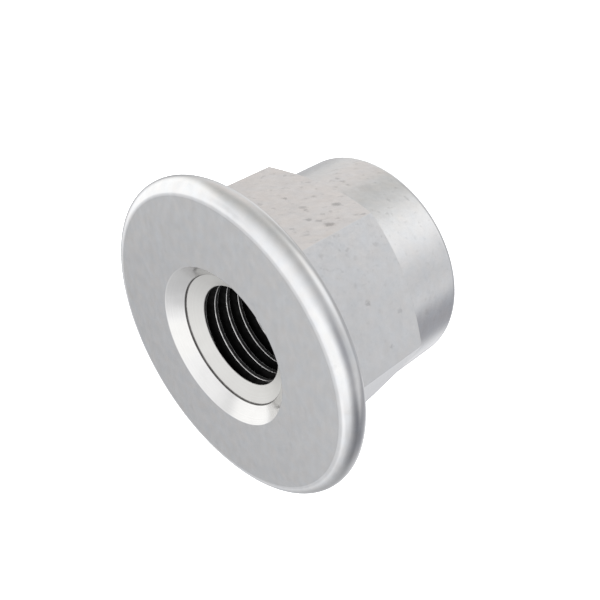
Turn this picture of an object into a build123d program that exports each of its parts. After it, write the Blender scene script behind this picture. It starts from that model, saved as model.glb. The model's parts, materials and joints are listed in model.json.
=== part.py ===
from build123d import *
from math import cos, radians, sin, tan
import os

# Flanged hex lock nut, one forged and turned piece of zinc-plated steel, in millimetres.
#
# The thread axis is Z and the bearing face of the flange lies in z = 0, facing up (+Z).
# The recess and its countersink open upward into the bearing face; the hexagon and the
# locking collar hang below the flange, so the nut stands on the end of its collar.
# The bore is left at the thread's minor diameter, without the helix.

# ---- thread ----
THREAD_DIAMETER = 10.0
THREAD_PITCH = 1.25
# ISO 68-1: an internal thread's minor diameter is its size less 1.0825 pitches
MINOR_DIAMETER = THREAD_DIAMETER - 1.0825 * THREAD_PITCH

# ---- whole nut ----
HEIGHT = 17.5

# ---- flange ----
FLANGE_DIAMETER = 27.0
RIM_RADIUS = 1.125          # the edge is fully rounded, so it is twice this thick
BACK_SLOPE = 20.0           # degrees, the flange thickens from its rim to the hexagon

# ---- recess in the bearing face ----
RECESS_MOUTH = 13.6
RECESS_FLOOR = 11.3
RECESS_DEPTH = 1.1          # of the tapered wall
STEP_DEPTH = 0.12           # upright step between the tapered wall and the countersink
COUNTERSINK_ANGLE = 120.0

# ---- hexagon ----
ACROSS_FLATS = 19.0
HEX_END_DEPTH = 11.7        # from the bearing face to the small end of the corner chamfer
CORNER_CHAMFER = 30.0       # degrees from a plane square to the axis

# ---- locking collar ----
COLLAR_RELIEF = 0.03        # the collar is turned this much inside the flats
COLLAR_END_RADIUS = 0.8
EXIT_MOUTH = 10.4           # mouth of the 120 degree countersink in the collar's end

# ---- worked-out sizes ----
RIM_CENTRE = FLANGE_DIAMETER / 2 - RIM_RADIUS
COLLAR_RADIUS = ACROSS_FLATS / 2 - COLLAR_RELIEF
CORNER_RADIUS = ACROSS_FLATS / 2 / cos(radians(30))
COUNTERSINK_SLOPE = tan(radians(90 - COUNTERSINK_ANGLE / 2))
BORE_RADIUS = MINOR_DIAMETER / 2
BACK_ANGLE = radians(BACK_SLOPE)
# where the rounded rim runs into the conical back
RIM_END_RADIUS = RIM_CENTRE + RIM_RADIUS * sin(BACK_ANGLE)
RIM_END_Z = -RIM_RADIUS - RIM_RADIUS * cos(BACK_ANGLE)


def flange_blank() -> Part:
    """Round flange: flat bearing face, fully rounded rim and conical back."""
    # the cone runs on past the flats into the hexagon, so the two bodies fuse cleanly
    inner_radius = ACROSS_FLATS / 2 - RIM_RADIUS
    inner_z = RIM_END_Z - (RIM_END_RADIUS - inner_radius) * tan(BACK_ANGLE)
    with BuildPart() as flange:
        with BuildSketch(Plane.XZ):
            with BuildLine():
                Line((0, 0), (RIM_CENTRE, 0))
                rim = JernArc((RIM_CENTRE, 0), (1, 0), RIM_RADIUS, BACK_SLOPE - 180)
                Polyline(rim @ 1, (inner_radius, inner_z), (0, inner_z), (0, 0))
            make_face()
        revolve(axis=Axis.Z)
    return flange.part


def hexagon() -> Part:
    """Wrench hexagon, a flat towards +X, its lower end chamfered at the corners."""
    reach = 2 * CORNER_RADIUS
    chamfer_z = -HEX_END_DEPTH + (reach - COLLAR_RADIUS) * tan(radians(CORNER_CHAMFER))
    with BuildPart() as prism:
        with BuildSketch():
            RegularPolygon(ACROSS_FLATS / 2, 6, major_radius=False, rotation=30)
        extrude(amount=-HEX_END_DEPTH)
        with BuildSketch(Plane.XZ):
            with BuildLine():
                Polyline(
                    (0, 0),
                    (reach, 0),
                    (reach, chamfer_z),
                    (COLLAR_RADIUS, -HEX_END_DEPTH),
                    (0, -HEX_END_DEPTH),
                    close=True,
                )
            make_face()
        revolve(axis=Axis.Z, mode=Mode.INTERSECT)
    return prism.part


def collar() -> Part:
    """Round locking collar below the hexagon, its lower edge rounded."""
    length = HEIGHT - HEX_END_DEPTH
    with BuildPart() as ring:
        with Locations((0, 0, -HEX_END_DEPTH)):
            Cylinder(COLLAR_RADIUS, length, align=(Align.CENTER, Align.CENTER, Align.MAX))
        fillet(ring.edges().filter_by(GeomType.CIRCLE).sort_by(Axis.Z)[0], COLLAR_END_RADIUS)
    return ring.part


def through_bore() -> Part:
    """What is cut away: recess, step, countersink, bore and exit countersink."""
    countersink_z = -RECESS_DEPTH - STEP_DEPTH
    bore_top = countersink_z - (RECESS_FLOOR / 2 - BORE_RADIUS) * COUNTERSINK_SLOPE
    bore_bottom = -HEIGHT + (EXIT_MOUTH / 2 - BORE_RADIUS) * COUNTERSINK_SLOPE
    with BuildPart() as bore:
        with BuildSketch(Plane.XZ):
            with BuildLine():
                Polyline(
                    (0, 0),
                    (RECESS_MOUTH / 2, 0),
                    (RECESS_FLOOR / 2, -RECESS_DEPTH),
                    (RECESS_FLOOR / 2, countersink_z),
                    (BORE_RADIUS, bore_top),
                    (BORE_RADIUS, bore_bottom),
                    (EXIT_MOUTH / 2, -HEIGHT),
                    (0, -HEIGHT),
                    close=True,
                )
            make_face()
        revolve(axis=Axis.Z)
    return bore.part


def lock_nut() -> Part:
    """The whole nut as one solid."""
    return flange_blank() + hexagon() + collar() - through_bore()


os.makedirs("parts", exist_ok=True)
export_step(lock_nut(), "parts/lock_nut.step")
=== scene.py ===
import json
from math import atan, cos, pi, radians, sin, tan

import bpy
import numpy as np
from mathutils import Matrix, Quaternion, Vector


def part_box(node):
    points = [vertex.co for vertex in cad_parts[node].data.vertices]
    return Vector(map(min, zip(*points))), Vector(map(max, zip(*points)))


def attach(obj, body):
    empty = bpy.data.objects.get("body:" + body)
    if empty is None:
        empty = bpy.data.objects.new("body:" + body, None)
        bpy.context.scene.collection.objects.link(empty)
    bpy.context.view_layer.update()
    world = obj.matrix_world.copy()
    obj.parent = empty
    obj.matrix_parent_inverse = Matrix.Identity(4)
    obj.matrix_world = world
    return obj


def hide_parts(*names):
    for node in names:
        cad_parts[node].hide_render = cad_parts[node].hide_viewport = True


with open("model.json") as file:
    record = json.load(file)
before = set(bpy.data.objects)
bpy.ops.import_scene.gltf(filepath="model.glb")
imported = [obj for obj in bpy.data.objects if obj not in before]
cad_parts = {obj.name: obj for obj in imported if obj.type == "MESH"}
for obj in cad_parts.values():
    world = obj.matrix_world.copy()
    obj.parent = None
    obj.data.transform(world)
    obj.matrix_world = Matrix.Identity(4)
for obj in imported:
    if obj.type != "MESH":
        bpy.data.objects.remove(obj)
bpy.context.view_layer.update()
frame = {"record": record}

# ---------------------------------------------------------------- sizes, in millimetres
MM = 0.001
NODE = "lock_nut"
LOW, HIGH = (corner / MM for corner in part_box(NODE))
THREAD = next(m for m in frame["record"]["mounts"] if m["name"] == "thread")

# flange
HEIGHT = -LOW.z               # of the whole nut
FLANGE_RADIUS = HIGH.x
RIM_RADIUS = 1.125            # half the flange's thickness at its fully rounded edge
RIM_CENTRE = (FLANGE_RADIUS - RIM_RADIUS, -RIM_RADIUS)
BACK_SLOPE = radians(20)      # the flange thickens from its rim to the hexagon

# recess in the bearing face
RECESS_MOUTH = 6.8            # radius
RECESS_FLOOR = 5.65           # radius
RECESS_DEPTH = 1.1            # of the tapered wall
STEP_DEPTH = 0.12             # of the upright step at the foot of that wall
COUNTERSINK_SLOPE = radians(30)

# hexagon
FLAT_RADIUS = 9.5             # from the axis to each wrench flat
FLAT_HALF = radians(30)       # half the angle that a flat takes up round the axis
HEX_END_DEPTH = 11.7
CORNER_CHAMFER = radians(30)

# collar and bore
COLLAR_RADIUS = 9.47
COLLAR_END_RADIUS = 0.8
EXIT_MOUTH = 5.2
BORE_RADIUS = THREAD["dims"]["r_mm"]
BORE_TOP = -RECESS_DEPTH - STEP_DEPTH - (RECESS_FLOOR - BORE_RADIUS) * tan(COUNTERSINK_SLOPE)
BORE_BOTTOM = -HEIGHT + (EXIT_MOUTH - BORE_RADIUS) * tan(COUNTERSINK_SLOPE)

# softened edges and corners, too small for the solid
EDGE = 0.05
STEP_EDGE = 0.03              # round the upper edge of the recess's step
STEP_SHADE_BAND = 0.07             # width of the band of painted shadow at the foot of that step
HEX_CORNER_RADIUS = 0.03
ROOT_RADIUS = 0.3             # between the hexagon and the back of the flange

# the M10 x 1.25 right-hand thread: crests a quarter pitch wide, roots an eighth
PITCH = 1.25
THREAD_DEPTH = 0.5413 * PITCH
FLANK_ANGLE = radians(30)
CREST_WIDTH = PITCH / 4
ROOT_WIDTH = PITCH / 8
CREST_EDGE = 0.045            # worn edge of each crest
BORE_LAND = 0.10              # plain bore above the thread
THREAD_TOP = BORE_TOP - BORE_LAND
THREAD_LEAD = 0.3             # over which the groove fades in at each end of the bore
THREAD_PHASE = (radians(135), -2.986)   # azimuth and height of one point on the crest's edge
SPARE_TURNS = 2               # drawn past each end of the thread and then cut off

# how finely the mesh is divided
SECTORS = 6
SPANS = 42                    # columns across one flat, between its rounded corners
RIM_STEPS = 40
ROOT_STEPS = 6
COLLAR_END_STEPS = 14

# material slots of the nut's mesh
ZINC, GROOVE, WORN_CREST, CREST, LOWER_CREST, SEAT, SHOULDER, RECESS, FACE = range(9)

# ---------------------------------------------------------------- finish
ZINC_COLOR = (0.58, 0.58, 0.58)
FACE_COLOR = (0.512, 0.512, 0.508)      # the flat bearing face is duller than the rolled rim
HUE_SHIFT = (0.04, 0.0, -0.04)          # the plate is a touch warmer here and cooler there

# noises on the plate: how many clouds to a millimetre, and in how many sizes
CLOUDS = (0.5, 5)
MOTTLES = (1.5, 6)
STREAKS = (3.0, 5)
SPECKS = (2.6, 3)
SMUDGES = (0.9, 4)
HUES = (1.2, 3)
WEAR_PATCHES = (1.7, 4)
MOTTLE_STRETCH = (0.6, 1.0, 1.0)        # mottles are longer along X

# noise values at which specks, smudges and worn patches begin and are full
SPECK_RANGE = (0.60, 0.72)
SMUDGE_RANGE = (0.62, 0.72)
PATCH_RANGE = (0.35, 0.6)
USUAL_RANGE = (0.3, 0.7)                # where most of a noise's values lie

# how far they change the plate's tone, and how dark specks and smudges are
CLOUD_TONE = 0.015
MOTTLE_TONE = 0.024
STREAK_TONE = 0.03
SPECK_TONE = 0.14
SMUDGE_TONE = 0.04

# the plate's roughness and relief
PLATE_ROUGHNESS = 0.15
ROUGHNESS_SPREAD = 0.03                 # up and down, with the mottles
STAIN_AND_SHADE_ROUGHNESS = 0.5                   # what a full stain, or the full painted shade on the rim's back edge, adds
STREAK_RELIEF = 1.2                     # height of the streaks, where the mottles have 1
PLATE_RELIEF = 0.0009                   # millimetres

# the flats and the collar are dirtier than the flange, most of all on the side that faces +X:
# heights and x between which the dirt grows to its full share
DIRTY_HEIGHTS = (-3.0, -5.0)
DIRTY_X = (5.0, 9.3)
DIRT_LEAST = 0.35

# polished edges: their width, how far their normal turns (as a cosine, from no wear to full),
# how little wear is left in places, and how much brighter and smoother they are
WEAR_WIDTH = 0.12
WEAR_TURN = (0.97, 0.85)
WEAR_LEAST = 0.2
WEAR_TONE = 0.03
WEAR_ROUGHNESS = -0.03

# painted shade, a dark line round the back edge of the rim: where it begins and is full
RIM_SHADE_RADII = (RIM_CENTRE[0], FLANGE_RADIUS - 0.7 * RIM_RADIUS)
RIM_SHADE_HEIGHTS = (-1.765 * RIM_RADIUS, -1.80 * RIM_RADIUS)
RIM_SHADE_TONE = 0.7

# stains on the flats, the collar and the rim: x, y, z and radius in millimetres, and how dark
MARKS = [
    (9.5, -4.4, -7.5, 0.36, 0.34), (9.5, -2.8, -10.0, 0.36, 0.28), (9.5, -0.7, -9.7, 0.2, 0.2),
    (9.5, 0.7, -8.0, 0.2, 0.26), (9.5, -1.3, -7.9, 0.3, 0.2), (9.5, -1.7, -7.8, 0.2, 0.24),
    (9.5, -2.8, -6.9, 0.26, 0.24), (9.5, -3.5, -7.3, 0.24, 0.22), (9.5, -3.1, -8.2, 0.2, 0.18),
    (9.5, -4.3, -8.5, 0.2, 0.18), (9.5, -5.2, -10.2, 0.2, 0.28), (9.5, 3.4, -10.6, 0.18, 0.16),
    (9.5, 1.2, -11.0, 0.2, 0.16), (9.5, -2.2, -11.1, 0.2, 0.14), (9.5, 2.4, -8.1, 0.16, 0.12),
    (9.47, 0.0, -13.1, 0.22, 0.2), (9.45, -0.6, -13.05, 0.22, 0.2), (9.4, -1.15, -13.0, 0.2, 0.18),
    (9.2, -2.4, -13.9, 0.7, 0.08), (8.55, -4.1, -14.5, 0.2, 0.14), (8.1, -4.9, -13.4, 0.2, 0.14),
    (7.5, -6.6, -10.2, 0.24, 0.1), (7.8, -6.4, -7.2, 0.24, 0.08), (7.4, -6.6, -7.8, 0.24, 0.08),
    (5.9, -7.6, -6.9, 0.26, 0.08), (4.5, -8.4, -7.4, 0.32, 0.22), (2.9, -9.3, -10.0, 0.3, 0.14),
    (1.2, -10.3, -8.0, 0.2, 0.16), (8.6, -6.0, -5.0, 0.24, 0.1), (1.0, -9.4, -13.3, 0.4, 0.12),
    (0.2, -13.4, -0.6, 0.14, 0.3),
]
MARK_CORE = 0.3                         # share of a stain's radius that is at its darkest
RAGGED_SCALE = 4.0                      # of the noise that makes their outlines ragged
RAGGED_REACH = (0.5, 0.5, 0.5)          # millimetres
SMEAR = Vector((0, 1, 1)).normalized()  # the way that streaks and stains are drawn out
SMEAR_SHARE = 0.38

# turned surfaces and the thread
RING_SCALE = 14.0                       # rings left by the cutter, to a millimetre
RING_TONE = 0.02
TURNED_CLOUDS = (0.8, 4)
DULL_CLOUDS = (2.2, 5)
DULL_SPREAD = 0.05                      # of its roughness
DULL_RELIEF = 0.004                     # millimetres
DULL_GLOSS = 0.1

# ---------------------------------------------------------------- studio light
SURROUND = (0.55, 0.555, 0.58)          # mid grey between the lamps
BRIGHTEST = (1.62, 1.62, 1.62)
DARKEST = (0.05, 0.05, 0.05)
# soft round lamps and, where the strength is negative, dark screens: azimuth, elevation and
# spread in degrees, how flat their middle is (1 is a plain glow), then strength in R, G, B
STUDIO = [
    (-160, 84, 85, 1.5, (0.96, 0.96, 0.96)),       # bright ceiling
    (0, -90, 66, 2.5, (0.47, 0.47, 0.47)),         # pale floor
    (80, 12, 35, 3.0, (0.82, 0.82, 0.81)),         # large softbox that lights the rim's broad band
    (-115, 52, 32, 1.5, (0.26, 0.26, 0.26)),       # smaller lamp for the recess and the rim's top
    (137, 38, 24, 7.0, (-0.29, -0.29, -0.29)),     # grey screen in front of the bearing face
    (-137, 7, 29, 2.0, (-0.60, -0.60, -0.60)),     # dark screen for the rim's lower right
    (-170, 29, 18, 1.7, (-0.25, -0.25, -0.25)),    # its upper end, seen in the recess
    (-148, 44, 14, 2.0, (-0.18, -0.18, -0.18)),    # thinner screen above that one
    (178, 45, 10, 2.0, (0.15, 0.15, 0.15)),        # thin lamp along the bearing face's edge
    (-84, 2, 22, 1.5, (-0.30, -0.30, -0.29)),      # dark screen for the rim next to the hexagon
    (178, -2, 24, 1.5, (-0.30, -0.30, -0.31)),     # dark screen behind the camera's right
    (-40, -54, 23, 1.5, (0.46, 0.46, 0.46)),       # bright card under the collar
    (-148, -38, 21, 2.0, (-0.47, -0.47, -0.46)),   # dark card for the collar's lower side
    (-172, -74, 24, 2.0, (-0.42, -0.42, -0.42)),   # dark card under the flange
    (110, -24, 25, 2.0, (-0.40, -0.40, -0.40)),    # dark edge below the softbox
    (140, -36, 14, 2.0, (-0.50, -0.50, -0.50)),    # dark line round the outline of the collar
    (10, -65, 20, 1.5, (-0.32, -0.32, -0.32)),     # dark card under the hexagon
    (64, 46, 13, 2.0, (-0.20, -0.20, -0.20)),      # softbox's shaded corner
    (-114, -24, 16, 2.0, (0.08, 0.08, 0.08)),      # faint lamp low on the left
    (-80, -50, 22, 2.0, (-0.10, -0.10, -0.10)),    # grey card for the middle flat
    (48, -37, 18, 1.5, (0.09, 0.05, 0.04)),        # small card for the upper flat
    (30, -25, 60, 1.5, (0.00, -0.01, -0.05)),      # warmth from the floor on that side
]
FLOOR_HALF = 3000.0                     # millimetres
FLOOR_COLOR = (0.9, 0.9, 0.9, 1)
WHITE = (1, 1, 1, 1)

# ---------------------------------------------------------------- camera
CAMERA_AIM = -8.64            # height on the thread's axis of the point that it looks at
CAMERA_DISTANCE = 68.94
CAMERA_AZIMUTH = -44.93       # degrees, where the camera stands as seen from there
CAMERA_ELEVATION = 34.47
CAMERA_ROLL = -120.95         # lays the thread's axis aslant in the picture
LENS = 50.12
SENSOR_WIDTH = 36
CLIP_START = 0.001            # metres
CLIP_END = 20


# ---------------------------------------------------------------- outlines
def arc(centre, radius, start, end, steps):
    """Points (r, z) on an arc, from angle start to end, both ends included."""
    angles = np.linspace(start, end, steps + 1)
    return [(centre[0] + radius * np.cos(a), centre[1] + radius * np.sin(a)) for a in angles]


def softened(before, corner, after, cut, steps=3):
    """Points that round off a corner of an outline, leaving it cut before and after the corner."""
    b, c, a = (np.array(p, float) for p in (before, corner, after))
    start = c + (b - c) / np.linalg.norm(b - c) * cut
    end = c + (a - c) / np.linalg.norm(a - c) * cut
    shares = np.linspace(0, 1, steps + 1)
    return [tuple((1 - t) ** 2 * start + 2 * t * (1 - t) * c + t * t * end) for t in shares]


def column_angles():
    """Azimuths of the mesh columns, close together round each rounded corner of the hexagon."""
    straight = (FLAT_RADIUS - HEX_CORNER_RADIUS) * tan(FLAT_HALF)
    spread = FLAT_HALF - atan(straight / FLAT_RADIUS)
    # seven columns across a corner, the outer two just past its rounding
    corner = spread * np.array([-1.5, -1, -0.5, 0, 0.5, 1, 1.5])
    between = np.linspace(corner[-1], 2 * FLAT_HALF + corner[0], SPANS + 1)[1:-1]
    sector = np.concatenate([corner, between])
    return np.concatenate([sector + FLAT_HALF * (2 * k - 1) for k in range(SECTORS)])


def hexagon_radius(angle):
    """Distance from the axis to the side of the hexagon with rounded corners, at an azimuth."""
    off_flat = (angle + FLAT_HALF) % (2 * FLAT_HALF) - FLAT_HALF
    off_corner = FLAT_HALF - np.abs(off_flat)
    corner_centre = (FLAT_RADIUS - HEX_CORNER_RADIUS) / cos(FLAT_HALF)
    aside = corner_centre * np.sin(off_corner)
    reach = np.sqrt(np.maximum(HEX_CORNER_RADIUS ** 2 - aside ** 2, 0))
    rounded = corner_centre * np.cos(off_corner) + reach
    flat = FLAT_RADIUS / np.cos(off_flat)
    return np.where(aside < HEX_CORNER_RADIUS * sin(FLAT_HALF), rounded, flat)


def turned_front():
    """Outline from the thread's top, over the bearing face and round the rim.

    Also gives a material slot for each row of faces but the rim's, which is plain zinc.
    """
    land = (BORE_RADIUS, THREAD_TOP)
    bore = (BORE_RADIUS, BORE_TOP)
    floor = (RECESS_FLOOR, -RECESS_DEPTH - STEP_DEPTH)
    step = (RECESS_FLOOR, -RECESS_DEPTH)
    mouth = (RECESS_MOUTH, 0)
    rim_start = (RIM_CENTRE[0], 0)
    seat = [land] + softened(land, bore, floor, EDGE)
    shoulder = softened(bore, floor, step, STEP_SHADE_BAND) + softened(floor, step, mouth, STEP_EDGE)
    brow = softened(step, mouth, rim_start, EDGE)
    rim = arc(RIM_CENTRE, RIM_RADIUS, pi / 2, BACK_SLOPE - pi / 2, RIM_STEPS)
    # each run's last row reaches to the next run; the recess's wall takes in the brow's first row
    slots = [GROOVE]
    slots += [SEAT] * (len(seat) - 1)
    slots += [SHOULDER] * (len(shoulder) - 1)
    slots += [RECESS] * 2
    slots += [FACE] * (len(brow) - 1)
    return seat + shoulder + brow + rim, slots


def hexagon_side(side):
    """Outline of one column, from the back of the flange down to the collar.

    The side is the distance from the axis to the hexagon in that column.
    """
    rim_end_r = RIM_CENTRE[0] + RIM_RADIUS * sin(BACK_SLOPE)
    rim_end_z = RIM_CENTRE[1] - RIM_RADIUS * cos(BACK_SLOPE)
    root_r = side + ROOT_RADIUS
    back_z = rim_end_z - (rim_end_r - root_r) * tan(BACK_SLOPE)
    root = (root_r, back_z - ROOT_RADIUS / cos(BACK_SLOPE))
    chamfer = (side, -HEX_END_DEPTH + (side - COLLAR_RADIUS) * tan(CORNER_CHAMFER))
    collar = (COLLAR_RADIUS, -HEX_END_DEPTH)
    below = (COLLAR_RADIUS, -HEIGHT)
    # a small share of the chamfer, which runs out to almost nothing at the middle of each flat
    cut = min(EDGE, 0.4 * (side - COLLAR_RADIUS) / cos(CORNER_CHAMFER))
    points = arc(root, ROOT_RADIUS, pi / 2 + BACK_SLOPE, pi, ROOT_STEPS)
    points += softened(points[-1], chamfer, collar, cut)
    points += softened(chamfer, collar, below, cut, steps=2)
    return points


def turned_end():
    """Outline from the collar, round its end, to the bottom of the bore."""
    centre = (COLLAR_RADIUS - COLLAR_END_RADIUS, -HEIGHT + COLLAR_END_RADIUS)
    foot = (centre[0], -HEIGHT)
    mouth = (EXIT_MOUTH, -HEIGHT)
    bore = (BORE_RADIUS, BORE_BOTTOM)
    points = arc(centre, COLLAR_END_RADIUS, 0, -pi / 2, COLLAR_END_STEPS)
    return points + softened(foot, mouth, bore, EDGE) + [bore]


def thread_rows():
    """One pitch of the thread, from the worn upper edge of its crest down to the root's end.

    Each row is its depth below the crest and its drop along the axis.
    """
    out = CREST_EDGE * cos(FLANK_ANGLE)
    up = CREST_EDGE * sin(FLANK_ANGLE)
    flank = THREAD_DEPTH * tan(FLANK_ANGLE)
    return [
        (out, -up),
        (0, CREST_EDGE),
        (0, CREST_WIDTH - CREST_EDGE),
        (out, CREST_WIDTH + up),
        (THREAD_DEPTH, CREST_WIDTH + flank),
        (THREAD_DEPTH, CREST_WIDTH + flank + ROOT_WIDTH),
    ]


# ---------------------------------------------------------------- mesh
class Grid:
    """Vertices and faces of the nut, built up column by column round the axis."""

    def __init__(self, angles):
        self.angles = angles
        self.points = []
        self.faces = []
        self.slots = []

    def add_point(self, column, r, z):
        """Adds a vertex and returns its number."""
        a = self.angles[column]
        self.points.append((r * cos(a), r * sin(a), z))
        return len(self.points) - 1

    def add_rows(self, outlines):
        """Adds one outline for each column; returns vertex numbers as [column][row]."""
        return [[self.add_point(c, r, z) for r, z in outline] for c, outline in enumerate(outlines)]

    def add_face(self, corners, slot):
        """Adds a face, unless it has shrunk to a line or a point."""
        distinct = list(dict.fromkeys(corners))
        if len(distinct) > 2:
            self.faces.append(distinct)
            self.slots.append(slot)

    def skin(self, rows, slot_of_row, shift=0):
        """Joins neighbouring columns by faces; the last meets the first shift rows further up."""
        count = len(rows)
        for c in range(count):
            here, there = rows[c], rows[(c + 1) % count]
            lift = shift if c == count - 1 else 0
            last = len(there) - 1
            for i in range(len(here) - 1):
                upper = there[min(max(i - lift, 0), last)]
                lower = there[min(max(i + 1 - lift, 0), last)]
                self.add_face((here[i], here[i + 1], lower, upper), slot_of_row(i))


def fade(x):
    """Smooth step from 0 to 1."""
    x = np.clip(x, 0, 1)
    return x * x * (3 - 2 * x)


def build_thread(grid, top, bottom):
    """Adds the helical thread between the bore's two edges, given as vertex numbers by column."""
    rows = thread_rows()
    azimuth, height = THREAD_PHASE
    turns = int((THREAD_TOP - BORE_BOTTOM) / PITCH) + 2 * SPARE_TURNS
    columns = []
    for c, a in enumerate(grid.angles):
        start = height + PITCH * ((a - azimuth) / (2 * pi) + SPARE_TURNS)
        column = [top[c]]
        for turn in range(turns):
            for depth, drop in rows:
                z = start - PITCH * turn - drop
                if z >= THREAD_TOP:
                    column.append(top[c])
                elif z <= BORE_BOTTOM:
                    column.append(bottom[c])
                else:
                    lead = fade((THREAD_TOP - z) / THREAD_LEAD) * fade((z - BORE_BOTTOM) / THREAD_LEAD)
                    column.append(grid.add_point(c, BORE_RADIUS + depth * lead, z))
        column.append(bottom[c])
        columns.append(column)

    def slot_of_row(i):
        place = (i - 1) % len(rows)
        return {0: WORN_CREST, 1: CREST, 2: LOWER_CREST}.get(place, GROOVE)

    grid.skin(columns, slot_of_row, shift=len(rows))


def area_weighted_normals(points, faces):
    """One normal for each vertex, led by the largest faces round it, so that flats stay flat."""
    points = np.array(points)
    normals = np.zeros_like(points)
    for size in (3, 4):
        chosen = np.array([f for f in faces if len(f) == size])
        if len(chosen) == 0:
            continue
        corners = points[chosen]
        area = np.zeros((len(chosen), 3))
        for k in range(1, size - 1):
            area += np.cross(corners[:, k] - corners[:, 0], corners[:, k + 1] - corners[:, 0])
        for k in range(size):
            np.add.at(normals, chosen[:, k], area)
    return normals / np.linalg.norm(normals, axis=1)[:, None]


def add_object(name, points, faces, materials):
    """A mesh object in the scene; its points are in millimetres."""
    mesh = bpy.data.meshes.new(name)
    mesh.from_pydata([Vector(p) * MM for p in points], [], faces)
    for material in materials:
        mesh.materials.append(material)
    thing = bpy.data.objects.new(name, mesh)
    bpy.context.scene.collection.objects.link(thing)
    return thing


def build_nut(materials):
    """The nut as one closed mesh, in place of the CAD node."""
    angles = column_angles()
    grid = Grid(angles)
    front, front_slots = turned_front()
    end = turned_end()
    outlines = [front + hexagon_side(side) + end for side in hexagon_radius(angles)]
    rows = grid.add_rows(outlines)
    grid.skin(rows, lambda i: front_slots[i] if i < len(front_slots) else ZINC)
    outside = len(grid.faces)
    build_thread(grid, [column[0] for column in rows], [column[-1] for column in rows])
    # the thread's rows run straight down the bore, so its faces have to be turned over
    faces = grid.faces[:outside] + [face[::-1] for face in grid.faces[outside:]]

    nut = add_object("nut_body", grid.points, faces, materials)
    nut.data.polygons.foreach_set("material_index", grid.slots)
    nut.data.polygons.foreach_set("use_smooth", [True] * len(faces))
    nut.data.validate()
    nut.data.normals_split_custom_set_from_vertices(area_weighted_normals(grid.points, faces))
    return nut


# ---------------------------------------------------------------- shader nodes
def add_node(tree, kind, operation, *inputs):
    """A math node; each input is a socket to link or a plain value."""
    node = tree.nodes.new(kind)
    node.operation = operation
    for socket, value in zip(node.inputs, inputs):
        if isinstance(value, bpy.types.NodeSocket):
            tree.links.new(value, socket)
        else:
            socket.default_value = value
    return node


def maths(tree, operation, *inputs):
    """A number worked out from numbers."""
    return add_node(tree, "ShaderNodeMath", operation, *inputs).outputs["Value"]


def vectors(tree, operation, *inputs):
    """A vector worked out from vectors, or from numbers taken as equal on each axis."""
    return add_node(tree, "ShaderNodeVectorMath", operation, *inputs).outputs["Vector"]


def measured(tree, operation, *inputs):
    """A number worked out from vectors, such as a length."""
    return add_node(tree, "ShaderNodeVectorMath", operation, *inputs).outputs["Value"]


def remap(tree, value, low, high, to_low, to_high):
    """Smooth change from to_low to to_high while value goes from low to high."""
    node = tree.nodes.new("ShaderNodeMapRange")
    node.interpolation_type = "SMOOTHSTEP"
    tree.links.new(value, node.inputs["Value"])
    node.inputs["From Min"].default_value = low
    node.inputs["From Max"].default_value = high
    node.inputs["To Min"].default_value = to_low
    node.inputs["To Max"].default_value = to_high
    return node.outputs["Result"]


def noise(tree, place, scale, detail):
    """Cloudy values from 0 to 1; scale is the number of clouds in a millimetre."""
    node = tree.nodes.new("ShaderNodeTexNoise")
    tree.links.new(place, node.inputs["Vector"])
    node.inputs["Scale"].default_value = scale
    node.inputs["Detail"].default_value = detail
    return node.outputs["Fac"]


def around(tree, cloudy, middle, spread):
    """A noise's values, brought from their usual range to one round the middle."""
    return remap(tree, cloudy, *USUAL_RANGE, middle - spread, middle + spread)


def coordinate(tree, place, axis):
    """One coordinate of a place: X, Y or Z."""
    split = tree.nodes.new("ShaderNodeSeparateXYZ")
    tree.links.new(place, split.inputs["Vector"])
    return split.outputs[axis]


def from_axis(tree, place):
    """Distance of a place from the thread's axis."""
    return measured(tree, "LENGTH", vectors(tree, "MULTIPLY", place, (1.0, 1.0, 0.0)))


# ---------------------------------------------------------------- materials
def new_metal(name):
    """A metal material, with its tree, its shader and the place on the nut in millimetres."""
    material = bpy.data.materials.new(name)
    material.use_nodes = True
    tree = material.node_tree
    shader = tree.nodes["Principled BSDF"]
    shader.inputs["Metallic"].default_value = 1
    place = vectors(tree, "SCALE", tree.nodes.new("ShaderNodeTexCoord").outputs["Object"])
    place.node.inputs["Scale"].default_value = 1 / MM
    return material, tree, shader, place


def set_tone(tree, shader, tone, color):
    """Base colour: a colour times a varying tone."""
    tree.links.new(vectors(tree, "MULTIPLY", color, tone), shader.inputs["Base Color"])


def set_bump(tree, shader, height, depth):
    """Raises the surface by the height times a depth in millimetres."""
    bump = tree.nodes.new("ShaderNodeBump")
    bump.inputs["Distance"].default_value = depth * MM
    tree.links.new(height, bump.inputs["Height"])
    tree.links.new(bump.outputs["Normal"], shader.inputs["Normal"])


def smeared(tree, place):
    """The place, squeezed along SMEAR so that whatever is drawn with it comes out long that way."""
    along = measured(tree, "DOT_PRODUCT", place, SMEAR * -SMEAR_SHARE)
    return vectors(tree, "MULTIPLY_ADD", along, SMEAR, place)


def marks_mask(tree, place):
    """Stains at MARKS, with ragged outlines."""
    ragged = tree.nodes.new("ShaderNodeTexNoise")
    tree.links.new(place, ragged.inputs["Vector"])
    ragged.inputs["Scale"].default_value = RAGGED_SCALE
    shift = vectors(tree, "SUBTRACT", ragged.outputs["Color"], (0.5, 0.5, 0.5))
    shifted = smeared(tree, vectors(tree, "MULTIPLY_ADD", shift, RAGGED_REACH, place))
    total = None
    for x, y, z, radius, darkness in MARKS:
        spot = Vector((x, y, z))
        gap = measured(tree, "DISTANCE", shifted, spot - SMEAR * spot.dot(SMEAR) * SMEAR_SHARE)
        mark = remap(tree, gap, radius * MARK_CORE, radius, darkness, 0.0)
        total = mark if total is None else maths(tree, "MAXIMUM", total, mark)
    return total


def back_edge_painted_shade(tree, place):
    """Painted shade in a narrow band round the back edge of the flange's rim."""
    outer = remap(tree, from_axis(tree, place), *RIM_SHADE_RADII, 0.0, RIM_SHADE_TONE)
    back = remap(tree, coordinate(tree, place, "Z"), *RIM_SHADE_HEIGHTS, 0.0, 1.0)
    return maths(tree, "MULTIPLY", outer, back)


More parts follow.
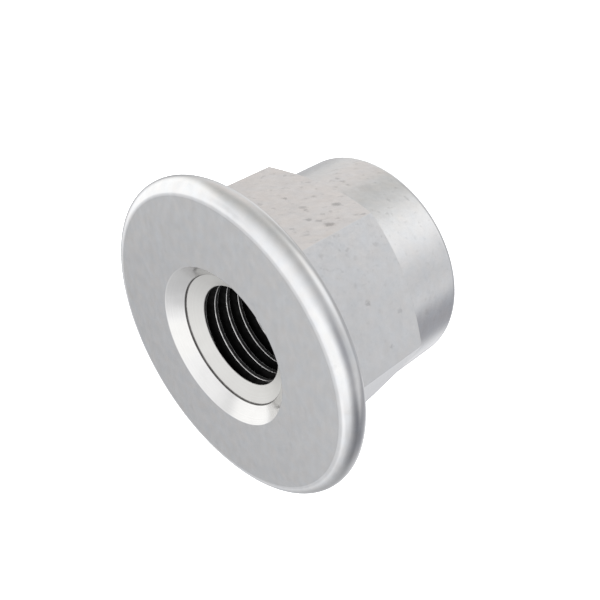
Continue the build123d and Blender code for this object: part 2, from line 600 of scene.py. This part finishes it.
def stains_and_rim_shade(tree, place, long_way, dirty):
    """Specks, smudges and marks on the plate, and painted shade round the rim's back edge, from 0 to
    how dark each is.
    """
    specks = remap(tree, noise(tree, long_way, *SPECKS), *SPECK_RANGE, 0.0, SPECK_TONE)
    smudges = remap(tree, noise(tree, place, *SMUDGES), *SMUDGE_RANGE, 0.0, SMUDGE_TONE)
    stains_and_shade = maths(tree, "MAXIMUM", maths(tree, "MULTIPLY", specks, dirty), smudges)
    # painted shade round the back edge of the rim
    stains_and_shade = maths(tree, "MAXIMUM", stains_and_shade, back_edge_painted_shade(tree, place))
    return maths(tree, "MAXIMUM", stains_and_shade, marks_mask(tree, place))


def edge_wear(tree, place):
    """1 on sharp edges that handling has polished, here more and there less, and 0 elsewhere."""
    bevel = tree.nodes.new("ShaderNodeBevel")
    bevel.samples = 4
    bevel.inputs["Radius"].default_value = WEAR_WIDTH * MM
    normal = tree.nodes.new("ShaderNodeNewGeometry").outputs["Normal"]
    likeness = measured(tree, "DOT_PRODUCT", bevel.outputs["Normal"], normal)
    edge = remap(tree, likeness, *WEAR_TURN, 0.0, 1.0)
    patches = remap(tree, noise(tree, place, *WEAR_PATCHES), *PATCH_RANGE, WEAR_LEAST, 1.0)
    return maths(tree, "MULTIPLY", edge, patches)


def build_zinc(name, color, sheen):
    """Zinc plate: cloudy and faintly streaked, stained and specked, with polished edges and painted
    shade on the rim's back edge.

    The sheen is how strongly it mirrors at a flat angle; 1 is a full mirror.
    """
    material, tree, shader, place = new_metal(name)
    shader.inputs["Specular Tint"].default_value = (sheen, sheen, sheen, 1)
    on_sides = remap(tree, coordinate(tree, place, "Z"), *DIRTY_HEIGHTS, 0.0, 1.0)
    facing = remap(tree, coordinate(tree, place, "X"), *DIRTY_X, DIRT_LEAST, 1.0)
    dirty = maths(tree, "MULTIPLY", on_sides, facing)
    long_way = smeared(tree, place)
    mottles = noise(tree, vectors(tree, "MULTIPLY", place, MOTTLE_STRETCH), *MOTTLES)
    streaks = noise(tree, long_way, *STREAKS)
    # stains, together with the painted shade round the rim's back edge
    stains_and_shade = stains_and_rim_shade(tree, place, long_way, dirty)
    wear = edge_wear(tree, place)

    tone = around(tree, noise(tree, place, *CLOUDS), 1.0, CLOUD_TONE)
    tone = maths(tree, "MULTIPLY", tone, around(tree, mottles, 1.0, MOTTLE_TONE))
    tone = maths(tree, "MULTIPLY_ADD", dirty, around(tree, streaks, 0.0, STREAK_TONE), tone)
    tone = maths(tree, "MULTIPLY", tone, maths(tree, "SUBTRACT", 1.0, stains_and_shade))
    tone = maths(tree, "MULTIPLY_ADD", wear, WEAR_TONE, tone)
    hue = maths(tree, "SUBTRACT", noise(tree, long_way, *HUES), 0.5)
    set_tone(tree, shader, tone, vectors(tree, "MULTIPLY_ADD", hue, HUE_SHIFT, color))

    rough = around(tree, mottles, PLATE_ROUGHNESS, ROUGHNESS_SPREAD)
    rough = maths(tree, "MULTIPLY_ADD", stains_and_shade, STAIN_AND_SHADE_ROUGHNESS, rough)
    rough = maths(tree, "MULTIPLY_ADD", wear, WEAR_ROUGHNESS, rough)
    tree.links.new(rough, shader.inputs["Roughness"])
    height = maths(tree, "MULTIPLY", streaks, dirty)
    height = maths(tree, "MULTIPLY_ADD", height, STREAK_RELIEF, mottles)
    set_bump(tree, shader, height, PLATE_RELIEF)
    return material


def build_turned(name, color, roughness, spread, relief):
    """A turned surface with fine rings left by the cutter; the spread is of its roughness."""
    material, tree, shader, place = new_metal(name)
    ring_noise = tree.nodes.new("ShaderNodeTexNoise")
    ring_noise.noise_dimensions = "1D"
    tree.links.new(from_axis(tree, place), ring_noise.inputs["W"])
    ring_noise.inputs["Scale"].default_value = RING_SCALE
    rings = ring_noise.outputs["Fac"]
    clouds = noise(tree, place, *TURNED_CLOUDS)
    ring_tone = around(tree, rings, 1.0, RING_TONE)
    cloud_tone = around(tree, clouds, 1.0, RING_TONE)
    set_tone(tree, shader, maths(tree, "MULTIPLY", ring_tone, cloud_tone), color)
    tree.links.new(around(tree, clouds, roughness, spread), shader.inputs["Roughness"])
    set_bump(tree, shader, rings, relief)
    return material


def build_dull(name, color, roughness, spread, metallic=1):
    """Dull metal, or a matt non-metal where metallic is 0; its tone varies by the spread, and is
    darkest where it is roughest.
    """
    material, tree, shader, place = new_metal(name)
    clouds = noise(tree, place, *DULL_CLOUDS)
    shader.inputs["Metallic"].default_value = metallic
    shader.inputs["Specular IOR Level"].default_value = DULL_GLOSS
    set_tone(tree, shader, around(tree, clouds, 1.0, spread), color)
    rough = around(tree, clouds, roughness, -DULL_SPREAD)
    tree.links.new(rough, shader.inputs["Roughness"])
    set_bump(tree, shader, clouds, DULL_RELIEF)
    return material


# ---------------------------------------------------------------- studio
def direction(azimuth, elevation):
    """Unit vector with this azimuth and elevation, both in degrees."""
    a, e = radians(azimuth), radians(elevation)
    return Vector((cos(a) * cos(e), sin(a) * cos(e), sin(e)))


def build_floor():
    """A plain white floor under the collar's end, left out of the metal's reflections."""
    material = bpy.data.materials.new("floor_white")
    material.use_nodes = True
    shader = material.node_tree.nodes["Principled BSDF"]
    shader.inputs["Base Color"].default_value = FLOOR_COLOR
    shader.inputs["Roughness"].default_value = 1
    shader.inputs["Emission Color"].default_value = WHITE
    shader.inputs["Emission Strength"].default_value = 1
    half, z = FLOOR_HALF, -HEIGHT
    corners = [(-half, -half, z), (half, -half, z), (half, half, z), (-half, half, z)]
    floor = add_object("floor", corners, [(0, 1, 2, 3)], [material])
    floor.visible_glossy = False


def studio_light(tree):
    """Colour of the studio in each direction: the surround plus all lamps and screens."""
    towards = tree.nodes.new("ShaderNodeTexCoord").outputs["Generated"]
    total = SURROUND
    for azimuth, elevation, spread, flatness, strength in STUDIO:
        facing = measured(tree, "DOT_PRODUCT", towards, direction(azimuth, elevation))
        # exp(-(k (1 - cos(angle))) ^ flatness) has fallen to 1/e at the lamp's spread, and
        # the small number keeps what is raised to a power above zero
        k = 1 / (1 - cos(radians(spread)))
        away = maths(tree, "MULTIPLY_ADD", facing, -k, k + 1e-6)
        power = maths(tree, "MULTIPLY", maths(tree, "POWER", away, flatness), -1.0)
        glow = maths(tree, "EXPONENT", power)
        total = vectors(tree, "MULTIPLY_ADD", glow, strength, total)
    return vectors(tree, "MAXIMUM", vectors(tree, "MINIMUM", total, BRIGHTEST), DARKEST)


def build_world():
    """A grey surround with soft lamps and dark screens; the camera itself sees plain white."""
    world = bpy.data.worlds.new("studio")
    bpy.context.scene.world = world
    world.use_nodes = True
    tree = world.node_tree
    tree.nodes.clear()
    lit = tree.nodes.new("ShaderNodeBackground")
    tree.links.new(studio_light(tree), lit.inputs["Color"])
    plain = tree.nodes.new("ShaderNodeBackground")
    plain.inputs["Color"].default_value = WHITE
    seen = tree.nodes.new("ShaderNodeLightPath").outputs["Is Camera Ray"]
    mix = tree.nodes.new("ShaderNodeMixShader")
    tree.links.new(seen, mix.inputs[0])
    tree.links.new(lit.outputs[0], mix.inputs[1])
    tree.links.new(plain.outputs[0], mix.inputs[2])
    output = tree.nodes.new("ShaderNodeOutputWorld")
    tree.links.new(mix.outputs[0], output.inputs["Surface"])


def build_camera():
    """Looks down on the bearing face and one corner of the hexagon."""
    data = bpy.data.cameras.new("camera")
    data.lens = LENS
    data.sensor_width = SENSOR_WIDTH
    data.clip_start = CLIP_START
    data.clip_end = CLIP_END
    camera = bpy.data.objects.new("camera", data)
    bpy.context.scene.collection.objects.link(camera)
    outwards = direction(CAMERA_AZIMUTH, CAMERA_ELEVATION)
    place = Vector((0, 0, CAMERA_AIM)) + outwards * CAMERA_DISTANCE
    turn = outwards.to_track_quat("Z", "Y") @ Quaternion((0, 0, 1), radians(CAMERA_ROLL))
    camera.matrix_world = Matrix.LocRotScale(place * MM, turn, None)
    bpy.context.scene.camera = camera


# in the order of the material slots
nut = build_nut([
    build_zinc("satin_zinc", ZINC_COLOR, sheen=1.0),
    # painted shade: grooves and crests near black, lower crest edges mid grey, for the shade deep in
    # the bore
    build_dull("thread_groove", (0.010, 0.010, 0.010), roughness=0.5, spread=0.3),
    build_dull("worn_crest", (0.56, 0.555, 0.55), roughness=0.3, spread=0.2),
    build_dull("crest", (0.035, 0.035, 0.035), roughness=0.5, spread=0.3, metallic=0),
    build_dull("lower_crest", (0.30, 0.30, 0.30), roughness=0.5, spread=0.3, metallic=0),
    build_turned("turned_seat", (0.553, 0.548, 0.53), roughness=0.52, spread=0.04, relief=0.0015),
    # painted shadow along the recess's step and round its foot
    build_dull("step_shadow", (0.17, 0.165, 0.16), roughness=0.5, spread=0.2),
    build_turned("turned_recess", (0.585, 0.58, 0.57), roughness=0.19, spread=0.02, relief=0.0001),
    build_zinc("dull_zinc", FACE_COLOR, sheen=0.78),
])
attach(nut, "root")
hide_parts(NODE)

build_floor()
build_world()
build_camera()
bpy.context.scene.view_settings.view_transform = "Standard"
